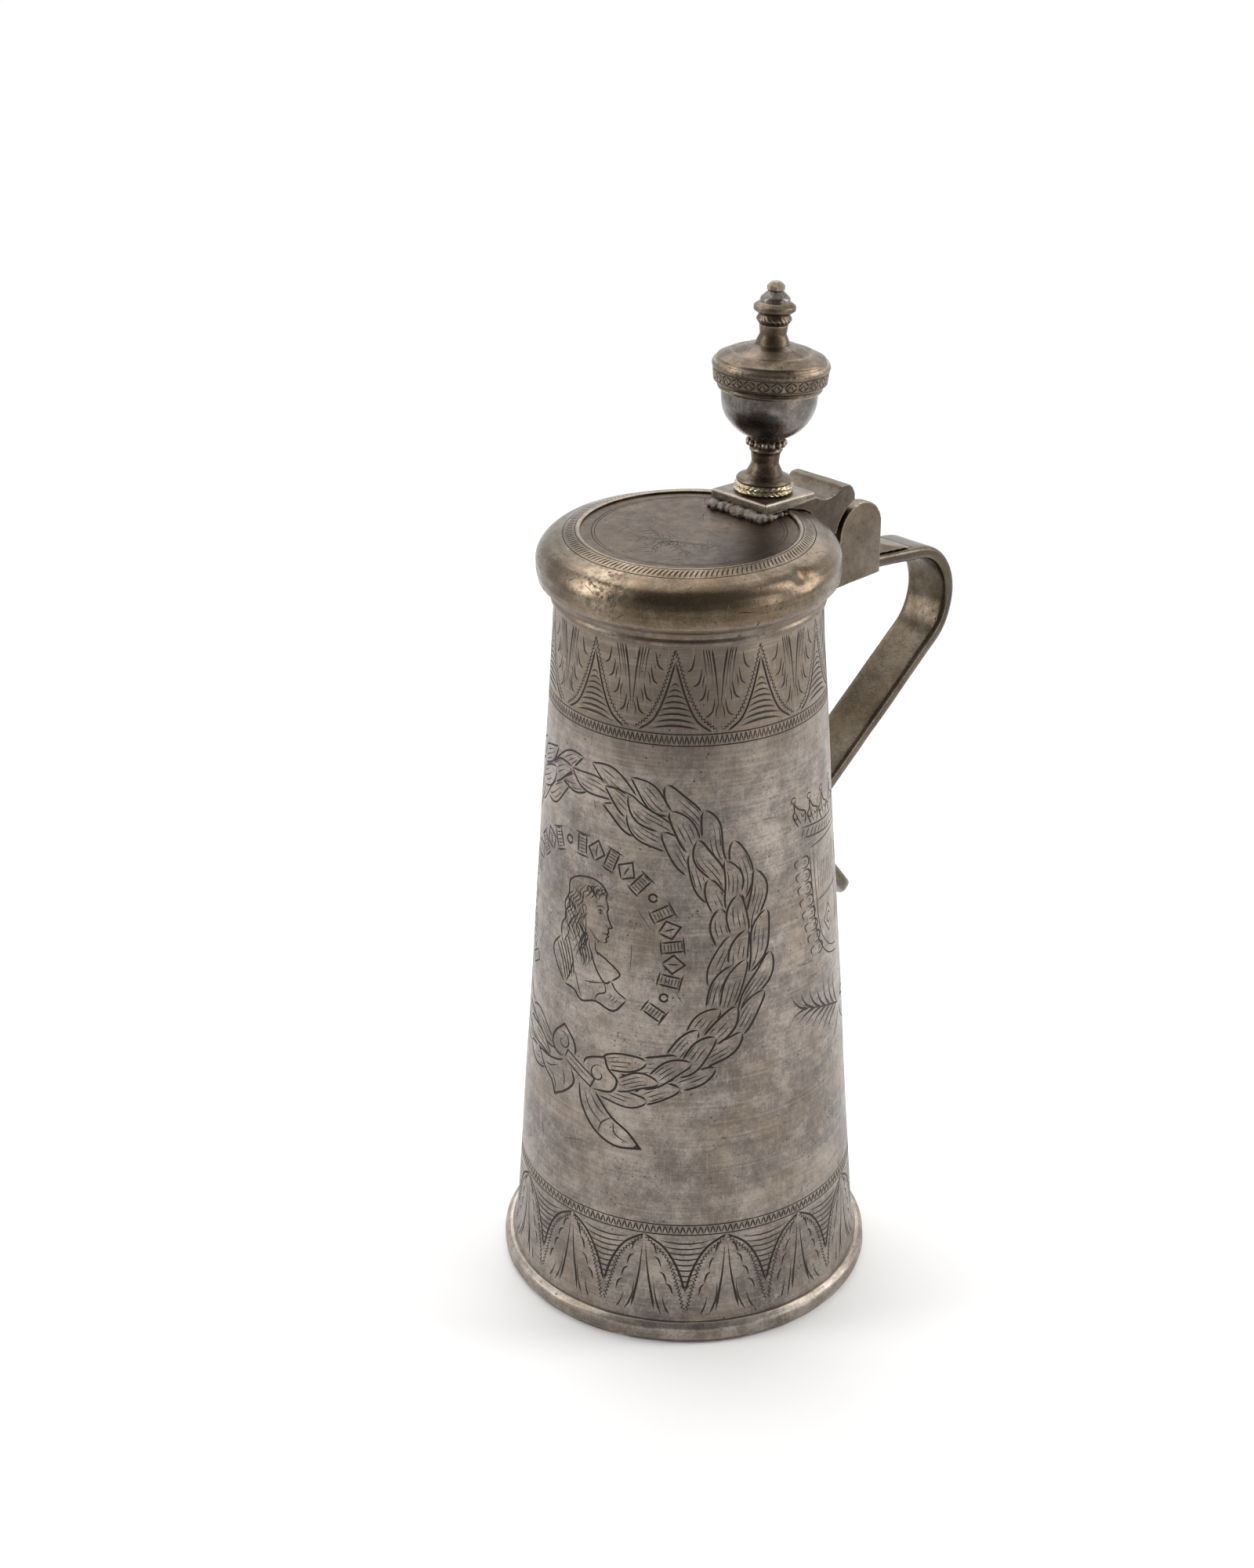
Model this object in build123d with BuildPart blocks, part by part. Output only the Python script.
"""Pewter lidded tankard: a tapered drum with a strap handle, a hinged lid and an urn thumbpiece.

Millimetres. +Z is up, the drum's axis is Z, the underside rests on Z = 0 and the handle is
on the +X side. The lid turns about a pin that is parallel to Y.
"""
from build123d import *
import os
from math import cos, hypot, radians, sin

os.makedirs("parts", exist_ok=True)

# Drum: a straight cone that flares out a little to the crease above the foot.
CREASE_HEIGHT = 6.0
CREASE_RADIUS = 50.2
CONE_FOOT_RADIUS = 49.2
FLARE_TOP = 15.0
MOUTH_HEIGHT = 208.0
MOUTH_RADIUS = 34.9
DRUM_WALL = 1.8
BASE_THICKNESS = 3.0
FOOT_RADIUS = 52.6
FOOT_CHAMFER = 0.7
COLLAR_HEIGHT = 5.6
COLLAR_EDGE = 0.9
COLLAR_FLARE = 2.3

# Lid: a shouldered, rolled rim with a flat plate let in and a ring that drops in the mouth.
LID_GAP = 0.3
LID_RADIUS = 39.9
LID_UNDERSIDE = MOUTH_HEIGHT + LID_GAP
LID_HEIGHT = 12.4
LID_WALL = 1.9
LID_ROLL = 6.2
LID_SHOULDER_DROP = 3.4
LID_EDGE_TUCK = 0.5
PLATE_RADIUS = 28.4
PLATE_SINK = 0.7
PLATE_THICKNESS = 1.8
RIDGE_WIDTH = 0.8
RIDGE_RISE = 0.1
RIDGE_INNER_DROP = 0.2
LID_EDGE_BAND = 2.0
LID_EDGE_ROUND = 1.0
FLANGE_RADIUS = 32.3
FLANGE_WALL = 1.6
FLANGE_DROP = 4.6

# Hinge: two ears on a bracket, one knuckle on the lid, one pin.
HINGE_X = 58.4
HINGE_Z = 206.2
EAR_RADIUS = 8.7
BRACKET_WIDTH = 18.4
KNUCKLE_WIDTH = 11.0
KNUCKLE_RADIUS = 8.2
KNUCKLE_SIDE_GAP = 0.3
PIN_RADIUS = 2.0
PIN_CLEARANCE = 0.05
BRACKET_UNDERSIDE = 192.3
BRACKET_DROP = 0.2
BRACKET_SHELF = 201.0
BRACKET_SHELF_STEP = 1.5
KNUCKLE_SLOT_DROP = 1.0
TANG_GAP = 1.8
TANG_HOLLOW_ANGLES = (12, 42, 72)
KNUCKLE_ROOT_ANGLES = (18, 42, 66)
KNUCKLE_ROOT_REACH = 1.2

# Handle: a flat strap with one tight bend at the top and a tail below.
STRAP_WIDTH = 15.2
STRAP_THICKNESS = 4.0
STRAP_EDGE = 1.1
STRAP_ROOT = (HINGE_X + EAR_RADIUS, 194.3)
STRAP_START = (STRAP_ROOT[0] - 1.0, STRAP_ROOT[1] + 0.13)
STRAP_CORNER = (126.7, 186.3)
STRAP_LOW_CORNER = (39.3, 122.0)
STRAP_TAIL_TIP = (63.6, 91.4)
STRAP_TOP_BEND = 15.8
STRAP_LOW_BEND = 12.0
SHOULDER_LENGTH = 18.0
SHOULDER_RISE = 4.2
BOSS_WIDTH = 12.0
BOSS_LOW = 108.0
BOSS_HIGH = 124.0
BOSS_REACH = 46.0

# Thumbpiece: an urn on a square plinth. It leans a little towards the handle.
APRON_TOP = 221.2
APRON_START = 17.5
PLINTH_X = 28.3
PLINTH_SIDE = 19.6
PLINTH_HEIGHT = 2.6
PLINTH_CHAMFER = 0.3
URN_LEAN = 3.5
SOLDER_SIZE = 1.3
ROD_RADIUS = 1.2
BORE_RADIUS = 1.25
ROD_END = 0.8
NUB_RADIUS = 2.25
NUB_SIDES = 8
NUB_CHAMFER = 1.0
NUB_FOOT_CHAMFER = 0.3

# The tang's outline: how far each point is from the hinge's axis, and how high.
APRON_END = (18.4, 221.2)
COVE_LOW = (12.6, 219.9)
RIDGE_FRONT = (8.6, 221.8)
RIDGE_BACK = (4.2, 220.4)
TANG_FOOT = (20.5, 209.3)


def wall_radius(height):
    """Outer radius of the drum's straight cone at a height."""
    share = (height - CREASE_HEIGHT) / (MOUTH_HEIGHT - CREASE_HEIGHT)
    return CONE_FOOT_RADIUS + (MOUTH_RADIUS - CONE_FOOT_RADIUS) * share


def inner_radius(height):
    """Inner radius of the drum at a height."""
    return wall_radius(height) - DRUM_WALL


def save(part, label):
    """Name one sub-part and write it as its own STEP file."""
    part.label = label
    export_step(part, f"parts/{label}.step")


# ---------------------------------------------------------------- body

with BuildPart() as body_drum:
    with BuildSketch(Plane.XZ):
        with BuildLine():
            Line((inner_radius(BASE_THICKNESS), BASE_THICKNESS), (CREASE_RADIUS, BASE_THICKNESS))
            Line((CREASE_RADIUS, BASE_THICKNESS), (CREASE_RADIUS, CREASE_HEIGHT))
            Spline(
                (CREASE_RADIUS, CREASE_HEIGHT),
                (wall_radius(FLARE_TOP), FLARE_TOP),
                tangents=((-0.45, 1), (MOUTH_RADIUS - CONE_FOOT_RADIUS, MOUTH_HEIGHT - CREASE_HEIGHT)),
            )
            Line((wall_radius(FLARE_TOP), FLARE_TOP), (MOUTH_RADIUS, MOUTH_HEIGHT))
            Line((MOUTH_RADIUS, MOUTH_HEIGHT), (inner_radius(MOUTH_HEIGHT), MOUTH_HEIGHT))
            Line((inner_radius(MOUTH_HEIGHT), MOUTH_HEIGHT), (inner_radius(BASE_THICKNESS), BASE_THICKNESS))
        make_face()
    revolve(axis=Axis.Z)
save(body_drum.part, "body_drum")

with BuildPart() as base_disc:
    with BuildSketch(Plane.XY):
        Circle(CREASE_RADIUS)
    extrude(amount=BASE_THICKNESS)
save(base_disc.part, "base_disc")

with BuildPart() as foot_rim:
    with BuildSketch(Plane.XZ):
        with BuildLine():
            Line((CREASE_RADIUS, CREASE_HEIGHT), (CREASE_RADIUS, 0))
            Line((CREASE_RADIUS, 0), (FOOT_RADIUS - FOOT_CHAMFER, 0))
            Line((FOOT_RADIUS - FOOT_CHAMFER, 0), (FOOT_RADIUS, FOOT_CHAMFER * 2))
            Line((FOOT_RADIUS, FOOT_CHAMFER * 2), (FOOT_RADIUS, CREASE_HEIGHT * 0.5))
            TangentArc((FOOT_RADIUS, CREASE_HEIGHT * 0.5), (CREASE_RADIUS, CREASE_HEIGHT), tangent=(0, 1))
        make_face()
    revolve(axis=Axis.Z)
save(foot_rim.part, "foot_rim")

collar_bottom = MOUTH_HEIGHT - COLLAR_HEIGHT
with BuildPart() as mouth_collar:
    with BuildSketch(Plane.XZ):
        with BuildLine():
            Line((MOUTH_RADIUS, MOUTH_HEIGHT), (wall_radius(collar_bottom), collar_bottom))
            Line(
                (wall_radius(collar_bottom), collar_bottom),
                (wall_radius(collar_bottom) + COLLAR_EDGE, collar_bottom),
            )
            Line(
                (wall_radius(collar_bottom) + COLLAR_EDGE, collar_bottom),
                (wall_radius(collar_bottom) + COLLAR_EDGE, collar_bottom + COLLAR_EDGE),
            )
            TangentArc(
                (wall_radius(collar_bottom) + COLLAR_EDGE, collar_bottom + COLLAR_EDGE),
                (MOUTH_RADIUS + COLLAR_FLARE, MOUTH_HEIGHT - COLLAR_EDGE),
                tangent=(0, 1),
            )
            Line(
                (MOUTH_RADIUS + COLLAR_FLARE, MOUTH_HEIGHT - COLLAR_EDGE),
                (MOUTH_RADIUS + COLLAR_FLARE, MOUTH_HEIGHT),
            )
            Line((MOUTH_RADIUS + COLLAR_FLARE, MOUTH_HEIGHT), (MOUTH_RADIUS, MOUTH_HEIGHT))
        make_face()
    revolve(axis=Axis.Z)
save(mouth_collar.part, "mouth_collar")

# The drum and its collar as one filled shape, used to fit the bracket and boss to the wall.
with BuildPart() as drum_envelope:
    with BuildSketch(Plane.XZ):
        Polygon(
            (0, CREASE_HEIGHT),
            (CONE_FOOT_RADIUS, CREASE_HEIGHT),
            (MOUTH_RADIUS, MOUTH_HEIGHT),
            (0, MOUTH_HEIGHT),
            align=None,
        )
    revolve(axis=Axis.Z)

# ---------------------------------------------------------------- handle

strap_section_plane = Plane(
    origin=(STRAP_START[0], 0, STRAP_START[1]),
    x_dir=(0, 1, 0),
    z_dir=(STRAP_CORNER[0] - STRAP_START[0], 0, STRAP_CORNER[1] - STRAP_START[1]),
)
strap_slope = (STRAP_CORNER[1] - STRAP_ROOT[1]) / (STRAP_CORNER[0] - STRAP_ROOT[0])

with BuildPart() as handle_strap:
    with BuildLine(Plane.XZ) as strap_line:
        FilletPolyline(
            STRAP_START,
            STRAP_CORNER,
            STRAP_LOW_CORNER,
            STRAP_TAIL_TIP,
            radius=[STRAP_TOP_BEND, STRAP_LOW_BEND],
        )
    with BuildSketch(strap_section_plane):
        RectangleRounded(STRAP_WIDTH, STRAP_THICKNESS, STRAP_EDGE)
    sweep(path=strap_line.line)
    # The tail ends in a half-round tongue.
    tail_direction = Vector(
        STRAP_TAIL_TIP[0] - STRAP_LOW_CORNER[0], 0, STRAP_TAIL_TIP[1] - STRAP_LOW_CORNER[1]
    ).normalized()
    tail_plane = Plane(
        origin=Vector(STRAP_TAIL_TIP[0], 0, STRAP_TAIL_TIP[1]) - tail_direction * STRAP_WIDTH / 2,
        x_dir=tail_direction,
        z_dir=tail_direction.cross(Vector(0, 1, 0)),
    )
    with BuildSketch(tail_plane):
        with Locations((STRAP_WIDTH / 2, 0)):
            Rectangle(STRAP_WIDTH, STRAP_WIDTH * 1.2)
        Circle(STRAP_WIDTH / 2, mode=Mode.SUBTRACT)
    extrude(amount=STRAP_THICKNESS, both=True, mode=Mode.SUBTRACT)
    # The root stands square against the bracket.
    with BuildSketch(Plane.YZ.offset(STRAP_ROOT[0])):
        with Locations((0, STRAP_ROOT[1])):
            Rectangle(STRAP_WIDTH * 1.2, STRAP_THICKNESS * 2)
    extrude(amount=-STRAP_THICKNESS * 2, mode=Mode.SUBTRACT)
save(handle_strap.part, "handle_strap")

shoulder_low = STRAP_ROOT[1] + STRAP_THICKNESS / 2 * hypot(1, strap_slope)
with BuildPart() as hinge_bracket:
    with BuildSketch(Plane.XZ):
        # Block from the drum's wall out to the strap's root.
        Polygon(
            (inner_radius(BRACKET_UNDERSIDE), BRACKET_UNDERSIDE),
            (STRAP_ROOT[0], BRACKET_UNDERSIDE - BRACKET_DROP),
            (STRAP_ROOT[0], HINGE_Z),
            (HINGE_X - EAR_RADIUS, HINGE_Z),
            (HINGE_X - EAR_RADIUS - BRACKET_SHELF_STEP, BRACKET_SHELF),
            (inner_radius(BRACKET_SHELF), BRACKET_SHELF),
            align=None,
        )
        with Locations((HINGE_X, HINGE_Z)):
            Circle(EAR_RADIUS)
    extrude(amount=BRACKET_WIDTH / 2, both=True)
    # Slot for the lid's knuckle.
    with BuildSketch(Plane.XZ):
        with Locations((HINGE_X, HINGE_Z)):
            Circle(KNUCKLE_RADIUS + KNUCKLE_SIDE_GAP * 3)
        Polygon(
            (HINGE_X - EAR_RADIUS * 2, HINGE_Z - KNUCKLE_SLOT_DROP),
            (HINGE_X + EAR_RADIUS * 2, HINGE_Z - KNUCKLE_SLOT_DROP),
            (HINGE_X + EAR_RADIUS * 2, HINGE_Z + EAR_RADIUS * 2),
            (HINGE_X - EAR_RADIUS * 2, HINGE_Z + EAR_RADIUS * 2),
            align=None,
        )
    extrude(amount=KNUCKLE_WIDTH / 2 + KNUCKLE_SIDE_GAP, both=True, mode=Mode.SUBTRACT)
    # Shoulder that runs out along the top of the strap.
    with BuildSketch(Plane.XZ):
        Polygon(
            (STRAP_ROOT[0], shoulder_low),
            (STRAP_ROOT[0] + SHOULDER_LENGTH, shoulder_low + SHOULDER_LENGTH * strap_slope),
            (STRAP_ROOT[0], shoulder_low + SHOULDER_RISE),
            align=None,
        )
    extrude(amount=STRAP_WIDTH / 2 - STRAP_EDGE, both=True)
    # Bore for the pin.
    with BuildSketch(Plane.XZ):
        with Locations((HINGE_X, HINGE_Z)):
            Circle(PIN_RADIUS)
    extrude(amount=BRACKET_WIDTH, both=True, mode=Mode.SUBTRACT)
    add(drum_envelope.part, mode=Mode.SUBTRACT)
save(hinge_bracket.part, "hinge_bracket")

with BuildPart() as hinge_pin:
    with BuildSketch(Plane.XZ):
        with Locations((HINGE_X, HINGE_Z)):
            Circle(PIN_RADIUS)
    extrude(amount=BRACKET_WIDTH / 2, both=True)
save(hinge_pin.part, "hinge_pin")

with BuildPart() as handle_boss:
    with BuildSketch(Plane.YZ.offset(inner_radius(BOSS_LOW))):
        with Locations((0, (BOSS_LOW + BOSS_HIGH) / 2)):
            RectangleRounded(BOSS_WIDTH, BOSS_HIGH - BOSS_LOW, BOSS_WIDTH / 3)
    extrude(amount=BOSS_REACH - inner_radius(BOSS_LOW))
    add(drum_envelope.part, mode=Mode.SUBTRACT)
    add(handle_strap.part, mode=Mode.SUBTRACT)
# Only the solder pad between the wall and the strap is kept.
solder_pad = handle_boss.part.solids().sort_by(Axis.X)[0]
save(Part(solder_pad.wrapped), "handle_boss")

# ---------------------------------------------------------------- lid

lid_top = LID_UNDERSIDE + LID_HEIGHT
ring_radius = PLATE_RADIUS + RIDGE_WIDTH
ridge_top = lid_top + RIDGE_RISE


def lid_outer_curve():
    """Outer face of the lid, from the ridge round the plate to the lower edge."""
    FilletPolyline(
        (ring_radius, ridge_top),
        (LID_RADIUS, lid_top - LID_SHOULDER_DROP),
        (LID_RADIUS, LID_UNDERSIDE + LID_EDGE_BAND),
        (LID_RADIUS - LID_EDGE_TUCK, LID_UNDERSIDE),
        radius=[LID_ROLL, LID_EDGE_ROUND],
    )


shelf_top = LID_UNDERSIDE + LID_WALL
plate_top = lid_top - PLATE_SINK
plate_bottom = plate_top - PLATE_THICKNESS
with BuildPart() as lid_rim:
    with BuildSketch(Plane.XZ):
        with BuildLine():
            lid_outer_curve()
            Polyline(
                (LID_RADIUS - LID_EDGE_TUCK, LID_UNDERSIDE),
                (FLANGE_RADIUS, LID_UNDERSIDE),
                (FLANGE_RADIUS, shelf_top),
                (LID_RADIUS - LID_WALL, shelf_top),
            )
            FilletPolyline(
                (LID_RADIUS - LID_WALL, shelf_top),
                (LID_RADIUS - LID_WALL, lid_top - LID_SHOULDER_DROP - LID_WALL * 0.6),
                (PLATE_RADIUS, plate_bottom),
                radius=LID_ROLL - LID_WALL,
            )
            Line((PLATE_RADIUS, plate_bottom), (PLATE_RADIUS, lid_top - RIDGE_INNER_DROP))
            Line((PLATE_RADIUS, lid_top - RIDGE_INNER_DROP), (ring_radius, ridge_top))
        make_face()
    revolve(axis=Axis.Z)
save(lid_rim.part, "lid_rim")

with BuildPart() as lid_plate:
    with BuildSketch(Plane.XY.offset(plate_bottom)):
        Circle(PLATE_RADIUS)
    extrude(amount=PLATE_THICKNESS)
save(lid_plate.part, "lid_plate")

with BuildPart() as lid_flange:
    with BuildSketch(Plane.XY.offset(LID_UNDERSIDE - FLANGE_DROP)):
        Circle(FLANGE_RADIUS)
        Circle(FLANGE_RADIUS - FLANGE_WALL, mode=Mode.SUBTRACT)
    extrude(amount=FLANGE_DROP + LID_WALL)
save(lid_flange.part, "lid_flange")

# The lid as one filled shape, used to fit the tang down on to its top.
with BuildPart() as lid_envelope:
    with BuildSketch(Plane.XZ):
        with BuildLine():
            lid_outer_curve()
            Polyline(
                (LID_RADIUS - LID_EDGE_TUCK, LID_UNDERSIDE),
                (0, LID_UNDERSIDE),
                (0, plate_top),
                (PLATE_RADIUS, plate_top),
                (PLATE_RADIUS, lid_top - RIDGE_INNER_DROP),
                (ring_radius, ridge_top),
            )
        make_face()
    revolve(axis=Axis.Z)

tang_bore = EAR_RADIUS + TANG_GAP


def about_hinge(radius, angle):
    """Point at a radius from the pin, at an angle up from the lid's side."""
    return (HINGE_X - radius * cos(radians(angle)), HINGE_Z + radius * sin(radians(angle)))


def before_hinge(point):
    """Point of the tang's outline, from its distance before the pin and its height."""
    return (HINGE_X - point[0], point[1])


tang_low, tang_mid, tang_high = [about_hinge(tang_bore, angle) for angle in TANG_HOLLOW_ANGLES]
with BuildPart() as lid_tang:
    # Full-width tang: an apron on the lid, a coved front, a rounded ridge and a hollow back.
    with BuildSketch(Plane.XZ):
        with BuildLine():
            Line((APRON_START, plate_top), (APRON_START, APRON_TOP))
            Line((APRON_START, APRON_TOP), before_hinge(APRON_END))
            ThreePointArc(before_hinge(APRON_END), before_hinge(COVE_LOW), before_hinge(RIDGE_FRONT))
            ThreePointArc(before_hinge(RIDGE_FRONT), before_hinge(RIDGE_BACK), tang_high)
            ThreePointArc(tang_high, tang_mid, tang_low)
            Line(tang_low, before_hinge(TANG_FOOT))
            Line(before_hinge(TANG_FOOT), (APRON_START, plate_top))
        make_face()
    extrude(amount=BRACKET_WIDTH / 2, both=True)
    # Knuckle between the ears, tied to the back of the tang.
    with BuildSketch(Plane.XZ):
        with Locations((HINGE_X, HINGE_Z)):
            Circle(KNUCKLE_RADIUS)
        Polygon(
            (HINGE_X, HINGE_Z),
            *[about_hinge(tang_bore + KNUCKLE_ROOT_REACH, angle) for angle in KNUCKLE_ROOT_ANGLES],
            align=None,
        )
    extrude(amount=KNUCKLE_WIDTH / 2, both=True)
    with BuildSketch(Plane.XZ):
        with Locations((HINGE_X, HINGE_Z)):
            Circle(PIN_RADIUS + PIN_CLEARANCE)
    extrude(amount=BRACKET_WIDTH, both=True, mode=Mode.SUBTRACT)
    add(lid_envelope.part, mode=Mode.SUBTRACT)
save(lid_tang.part, "lid_tang")

# ---------------------------------------------------------------- thumbpiece

urn_tilt = radians(URN_LEAN)
urn_plane = Plane(
    origin=(PLINTH_X, 0, APRON_TOP + PLINTH_HEIGHT),
    x_dir=(cos(urn_tilt), 0, -sin(urn_tilt)),
    z_dir=(0, -1, 0),
)
urn_axis = Axis(urn_plane.origin, urn_plane.y_dir)
plinth_top_plane = Plane(urn_plane.origin, x_dir=urn_plane.x_dir, z_dir=urn_plane.y_dir)

with BuildPart() as thumb_plinth:
    with BuildSketch(plinth_top_plane):
        Rectangle(PLINTH_SIDE, PLINTH_SIDE)
    extrude(amount=-PLINTH_HEIGHT * 2)
    chamfer(thumb_plinth.faces().sort_by(Axis.Z)[-1].edges(), length=PLINTH_CHAMFER)
    split(bisect_by=Plane.XY.offset(APRON_TOP), keep=Keep.TOP)
    with BuildSketch(plinth_top_plane):
        Circle(BORE_RADIUS)
    extrude(amount=-PLINTH_HEIGHT * 3, mode=Mode.SUBTRACT)
save(thumb_plinth.part, "thumb_plinth")

# Solder run along the plinth's front edge, on the apron.
solder_x = PLINTH_X - PLINTH_SIDE / 2 - 0.2
with BuildPart() as solder_bead:
    with BuildSketch(Plane.XZ.offset(-PLINTH_SIDE / 2)):
        with BuildLine():
            Line((solder_x, plate_top), (solder_x, plate_top + SOLDER_SIZE * 2))
            ThreePointArc(
                (solder_x, plate_top + SOLDER_SIZE * 2),
                (solder_x - SOLDER_SIZE * 0.5, plate_top + SOLDER_SIZE * 1.2),
                (solder_x - SOLDER_SIZE, plate_top),
            )
            Line((solder_x - SOLDER_SIZE, plate_top), (solder_x, plate_top))
        make_face()
    extrude(amount=PLINTH_SIDE)
    add(lid_tang.part, mode=Mode.SUBTRACT)
    add(thumb_plinth.part, mode=Mode.SUBTRACT)
save(solder_bead.part, "solder_bead")


def turned(label, outline):
    """One turned piece of the urn: a closed outline of (radius, height) points on its axis."""
    with BuildPart() as piece:
        with BuildSketch(urn_plane):
            with BuildLine():
                outline()
            make_face()
        revolve(axis=urn_axis)
    save(piece.part, label)


# Heights on the urn's axis, above the plinth.
RING_TOP = 2.6
FOOT_TOP = 12.0
COLLAR_TOP = 14.4
BOWL_TOP = 27.6
BAND_TOP = 35.0
COVER_TOP = 44.6
KNOB_RING_TOP = 50.4
KNOB_TOP = 53.2
NUB_TOP = 55.6


def ring_outline():
    """Polished ring that the urn's foot stands on."""
    Line((BORE_RADIUS, 0), (7.6, 0))
    ThreePointArc((7.6, 0), (8.0, 0.6), (7.5, 1.2))
    ThreePointArc((7.5, 1.2), (7.9, 1.9), (7.4, RING_TOP))
    Polyline((7.4, RING_TOP), (BORE_RADIUS, RING_TOP), (BORE_RADIUS, 0))


def foot_outline():
    """Flared foot and waisted stem."""
    Line((BORE_RADIUS, RING_TOP), (7.3, RING_TOP))
    ThreePointArc((7.3, RING_TOP), (7.6, 3.2), (7.1, 3.9))
    Spline((7.1, 3.9), (5.2, 5.0), (3.7, 7.8), (4.2, 10.6), tangents=((-1, 0.3), (0.5, 1)))
    ThreePointArc((4.2, 10.6), (4.7, 11.3), (4.2, FOOT_TOP))
    Polyline((4.2, FOOT_TOP), (BORE_RADIUS, FOOT_TOP), (BORE_RADIUS, RING_TOP))


def collar_outline():
    """Collar that carries the beads."""
    Line((BORE_RADIUS, FOOT_TOP), (4.4, FOOT_TOP))
    ThreePointArc((4.4, FOOT_TOP), (5.5, 13.2), (4.4, COLLAR_TOP))
    Polyline((4.4, COLLAR_TOP), (BORE_RADIUS, COLLAR_TOP), (BORE_RADIUS, FOOT_TOP))


def bowl_outline():
    """Hollow bowl with a flat seat below and an open top."""
    Line((BORE_RADIUS, COLLAR_TOP), (4.2, COLLAR_TOP))
    Spline((4.2, COLLAR_TOP), (10.0, 18.3), (12.3, 22.4), (12.9, BOWL_TOP), tangents=((1, 0.25), (0, 1)))
    Line((12.9, BOWL_TOP), (11.3, BOWL_TOP))
    Spline((11.3, BOWL_TOP), (8.9, 19.6), (BORE_RADIUS, 16.2), tangents=((0, -1), (-1, 0)))
    Line((BORE_RADIUS, 16.2), (BORE_RADIUS, COLLAR_TOP))


def band_outline():
    """Rim band of the cover, with a step below it."""
    Polyline((10.4, BOWL_TOP), (13.5, BOWL_TOP))
    ThreePointArc((13.5, BOWL_TOP), (13.9, 28.2), (13.6, 28.8))
    Polyline((13.6, 28.8), (14.9, 29.8), (15.3, 33.2))
    ThreePointArc((15.3, 33.2), (15.7, 34.0), (15.1, BAND_TOP))
    Polyline((15.1, BAND_TOP), (10.4, BAND_TOP), (10.4, BOWL_TOP))


def cover_outline():
    """Low domed cover with a neck."""
    Line((BORE_RADIUS, BAND_TOP), (14.6, BAND_TOP))
    Spline((14.6, BAND_TOP), (9.6, 38.0), (4.5, 39.6), tangents=((-0.6, 1), (-1, 0.3)))
    Spline((4.5, 39.6), (3.5, 42.0), (3.8, COVER_TOP), tangents=((-0.7, 0.6), (0.2, 1)))
    Polyline((3.8, COVER_TOP), (BORE_RADIUS, COVER_TOP), (BORE_RADIUS, BAND_TOP))


def knob_ring_outline():
    """Two rings below the knob, the upper one the wider."""
    Line((BORE_RADIUS, COVER_TOP), (4.0, COVER_TOP))
    ThreePointArc((4.0, COVER_TOP), (4.7, 45.9), (4.3, 47.2))
    ThreePointArc((4.3, 47.2), (5.6, 48.8), (4.3, KNOB_RING_TOP))
    Polyline((4.3, KNOB_RING_TOP), (BORE_RADIUS, KNOB_RING_TOP), (BORE_RADIUS, COVER_TOP))


def knob_outline():
    """Domed knob."""
    Line((BORE_RADIUS, KNOB_RING_TOP), (4.1, KNOB_RING_TOP))
    Spline((4.1, KNOB_RING_TOP), (3.5, 52.2), (2.0, KNOB_TOP), tangents=((0, 1), (-1, 0.15)))
    Polyline((2.0, KNOB_TOP), (BORE_RADIUS, KNOB_TOP), (BORE_RADIUS, KNOB_RING_TOP))


turned("urn_base_ring", ring_outline)
turned("urn_foot", foot_outline)
turned("urn_collar", collar_outline)
turned("urn_bowl", bowl_outline)
turned("urn_rim_band", band_outline)
turned("urn_cover", cover_outline)
turned("urn_knob_ring", knob_ring_outline)
turned("urn_knob", knob_outline)

# Rod through the stack, drawn up by a faceted nut.
with BuildPart() as urn_tie_rod:
    with BuildSketch(plinth_top_plane):
        Circle(ROD_RADIUS)
    extrude(amount=KNOB_TOP + ROD_END)
    with BuildSketch(plinth_top_plane):
        Circle(ROD_RADIUS)
    extrude(amount=-PLINTH_HEIGHT / 2)
save(urn_tie_rod.part, "urn_tie_rod")

with BuildPart() as urn_nub:
    with BuildSketch(plinth_top_plane.offset(KNOB_TOP)):
        RegularPolygon(NUB_RADIUS, NUB_SIDES)
    extrude(amount=NUB_TOP - KNOB_TOP)
    chamfer(urn_nub.faces().sort_by(urn_axis)[-1].edges(), length=NUB_CHAMFER)
    chamfer(urn_nub.faces().sort_by(urn_axis)[0].edges(), length=NUB_FOOT_CHAMFER)
    with BuildSketch(plinth_top_plane.offset(KNOB_TOP)):
        Circle(BORE_RADIUS)
    extrude(amount=ROD_END + BORE_RADIUS - ROD_RADIUS, mode=Mode.SUBTRACT)
save(urn_nub.part, "urn_nub")
